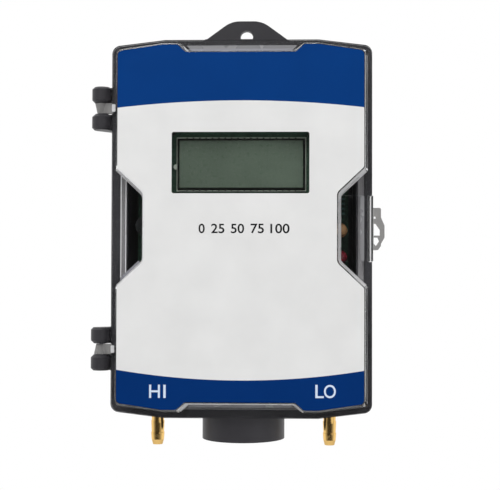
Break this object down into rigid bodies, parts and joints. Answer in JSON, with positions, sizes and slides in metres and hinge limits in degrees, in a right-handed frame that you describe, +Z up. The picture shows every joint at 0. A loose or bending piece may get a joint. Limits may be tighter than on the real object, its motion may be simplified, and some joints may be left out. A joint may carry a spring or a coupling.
{
  "type": "differential pressure transmitter",
  "caption": "Wall-mounted differential pressure transmitter: hinged case with clear lid and display, brass hose barbs and a conduit boss underneath",
  "frame": {"origin": "centre of the back face, midway between the flat top and bottom of the case", "axes": "+X to the reader's right, +Y into the wall, +Z up"},
  "size_m": [0.1173, 0.0483, 0.1807],
  "materials": {
    "housing_plastic": "fine moulded grain",
    "clear_plastic": "clear",
    "label_film": "satin",
    "gasket_rubber": "matt",
    "seal_rubber": "matt",
    "pin_steel": "ground",
    "fitting_brass": "turned",
    "insert_brass": "knurled",
    "tube_silicone": "satin",
    "sensor_plastic": "satin",
    "board_green": "solder mask",
    "spacer_nylon": "satin",
    "display_glass": "polished",
    "header_plastic": "satin",
    "terminal_plastic": "satin",
    "clamp_steel": "plated",
    "switch_plastic": "satin",
    "button_plastic": "satin",
    "switch_blue": "satin",
    "lever_white": "satin",
    "lamp_amber": "diffused",
    "lamp_red": "diffused",
    "chip_epoxy": "moulded",
    "capacitor_sleeve": "brushed",
    "part_ceramic": "satin"
  },
  "bodies": {
    "case": {"housing": "housing_plastic", "gasket": "gasket_rubber", "hinge_pins": "pin_steel", "high_port": "fitting_brass", "low_port": "fitting_brass", "high_tube": "tube_silicone", "low_tube": "tube_silicone", "port_seals": "seal_rubber", "pressure_sensor": "sensor_plastic", "main_board": "board_green", "threaded_inserts": "insert_brass", "board_screws": "pin_steel", "display_spacers": "spacer_nylon", "display_board": "board_green", "display_glass": "display_glass", "display_pins": "clamp_steel", "display_header": "header_plastic", "terminal_block": "terminal_plastic", "terminal_screws": "clamp_steel", "wire_clamps": "clamp_steel", "zero_switch": "switch_plastic", "range_switch": "switch_blue", "amber_lamp": "lamp_amber", "red_lamp": "lamp_red", "microcontroller": "chip_epoxy", "amplifier_chips": "chip_epoxy", "capacitors": "capacitor_sleeve", "voltage_regulator": "chip_epoxy", "surface_parts": "part_ceramic"},
    "lid": {"lid": "clear_plastic", "label": "label_film"},
    "zero_button": {"zero_button": "button_plastic"},
    "range_lever_1": {"range_lever_1": "lever_white"},
    "range_lever_2": {"range_lever_2": "lever_white"},
    "range_lever_3": {"range_lever_3": "lever_white"},
    "range_lever_4": {"range_lever_4": "lever_white"}
  },
  "joints": [
    {"name": "lid_hinge", "type": "hinge", "parent": "case", "child": "lid", "pos_m": [-0.0564, -0.0377, 0], "axis": [0, 0, -1], "range_deg": [0, 120]},
    {"name": "zero_button_press", "type": "slide", "parent": "case", "child": "zero_button", "axis": [0, 1, 0], "range_m": [0, 0.0005], "stiffness_N_per_m": 500, "springref_m": -0.0005},
    {"name": "range_lever_1_slide", "type": "slide", "parent": "case", "child": "range_lever_1", "axis": [0, 0, -1], "range_m": [0, 0.002]},
    {"name": "range_lever_2_slide", "type": "slide", "parent": "case", "child": "range_lever_2", "axis": [0, 0, -1], "range_m": [0, 0.002]},
    {"name": "range_lever_3_slide", "type": "slide", "parent": "case", "child": "range_lever_3", "axis": [0, 0, -1], "range_m": [0, 0.002]},
    {"name": "range_lever_4_slide", "type": "slide", "parent": "case", "child": "range_lever_4", "axis": [0, 0, -1], "range_m": [0, 0.002]}
  ]
}
